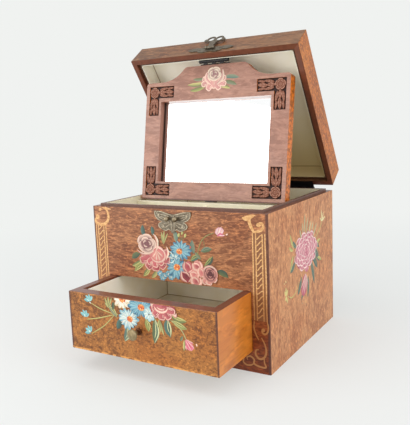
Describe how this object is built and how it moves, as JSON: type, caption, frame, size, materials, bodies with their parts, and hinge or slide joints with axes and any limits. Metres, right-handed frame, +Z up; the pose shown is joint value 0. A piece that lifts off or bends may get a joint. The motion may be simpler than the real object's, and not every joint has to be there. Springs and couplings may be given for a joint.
{
  "type": "vanity box with mirror",
  "caption": "Wooden vanity box with a hinged lid, a framed mirror that folds into the lid and props it, lined top compartments, a pull-out drawer and a hasp latch.",
  "frame": {"origin": "middle of the case's underside, on the surface it stands on", "axes": "+Z up; -Y the front with the drawer; +X to the right as seen from the front"},
  "size_m": [0.24, 0.3358, 0.3868],
  "materials": {
    "box_wood": "stained, fine grain, satin lacquer",
    "inner_wood": "bare board",
    "edge_wood": "dark stained edge",
    "drawer_wood": "orange-brown varnish",
    "lining_card": "cream lining",
    "frame_wood": "stained, satin lacquer",
    "carved_wood": "dark stained carving",
    "mirror_glass": "silvered glass",
    "hinge_metal": "black",
    "old_brass": "antique brass, worn"
  },
  "bodies": {
    "case": {"front_board": "box_wood", "back_board": "box_wood", "left_side": "box_wood", "right_side": "box_wood", "base_board": "box_wood", "left_guide": "inner_wood", "right_guide": "inner_wood", "drawer_stops": "inner_wood", "compartment_floor": "inner_wood", "front_liner": "edge_wood", "back_liner": "edge_wood", "left_liner": "edge_wood", "right_liner": "edge_wood", "case_lining": "lining_card", "cross_partition": "lining_card", "front_divider": "lining_card", "case_hinge_leaves": "hinge_metal", "rear_hinge_pins": "hinge_metal", "case_hinge_nails": "hinge_metal", "catch_plate": "old_brass", "catch_studs": "old_brass", "catch_nails": "old_brass"},
    "lid": {"lid_front_rail": "box_wood", "lid_back_rail": "box_wood", "lid_left_rail": "box_wood", "lid_right_rail": "box_wood", "lid_top_panel": "box_wood", "lid_front_liner": "edge_wood", "lid_back_liner": "edge_wood", "lid_left_liner": "edge_wood", "lid_right_liner": "edge_wood", "lid_lining": "lining_card", "lid_hinge_leaves": "hinge_metal", "lid_hinge_nails": "hinge_metal", "latch_plate": "old_brass", "latch_pin": "old_brass", "latch_nails": "old_brass", "mirror_hinge_lid_leaf": "hinge_metal", "mirror_hinge_pin": "hinge_metal", "mirror_leaf_nails": "hinge_metal"},
    "hasp": {"hasp": "old_brass"},
    "mirror": {"mirror_frame": "frame_wood", "mirror_glass": "mirror_glass", "mirror_backing": "inner_wood", "mirror_corners": "carved_wood", "mirror_hinge_frame_leaf": "hinge_metal", "frame_leaf_nails": "hinge_metal", "foot_plate": "hinge_metal"},
    "drawer": {"drawer_front": "box_wood", "drawer_left_side": "drawer_wood", "drawer_right_side": "drawer_wood", "drawer_back": "drawer_wood", "drawer_bottom": "inner_wood", "drawer_lining": "lining_card", "drawer_knob": "old_brass", "knob_screw": "hinge_metal"}
  },
  "joints": [
    {"name": "lid_hinge", "type": "hinge", "parent": "case", "child": "lid", "pos_m": [0, 0.1155, 0.18015], "axis": [1, 0, 0], "range_deg": [0, 55.2]},
    {"name": "mirror_fold", "type": "hinge", "parent": "lid", "child": "mirror", "pos_m": [0, 0.00348, 0.3556], "axis": [1, 0, 0], "range_deg": [0, 44.8]},
    {"name": "hasp_hinge", "type": "hinge", "parent": "lid", "child": "hasp", "pos_m": [0, -0.00625, 0.37136], "axis": [1, 0, 0], "range_deg": [0, 180]},
    {"name": "drawer_slide", "type": "slide", "parent": "case", "child": "drawer", "axis": [0, -1, 0], "range_m": [-0.076, 0.06]}
  ],
  "couplings": [
    {"joint": "mirror_fold", "follows": "lid_hinge", "ratio": 0.81159}
  ]
}
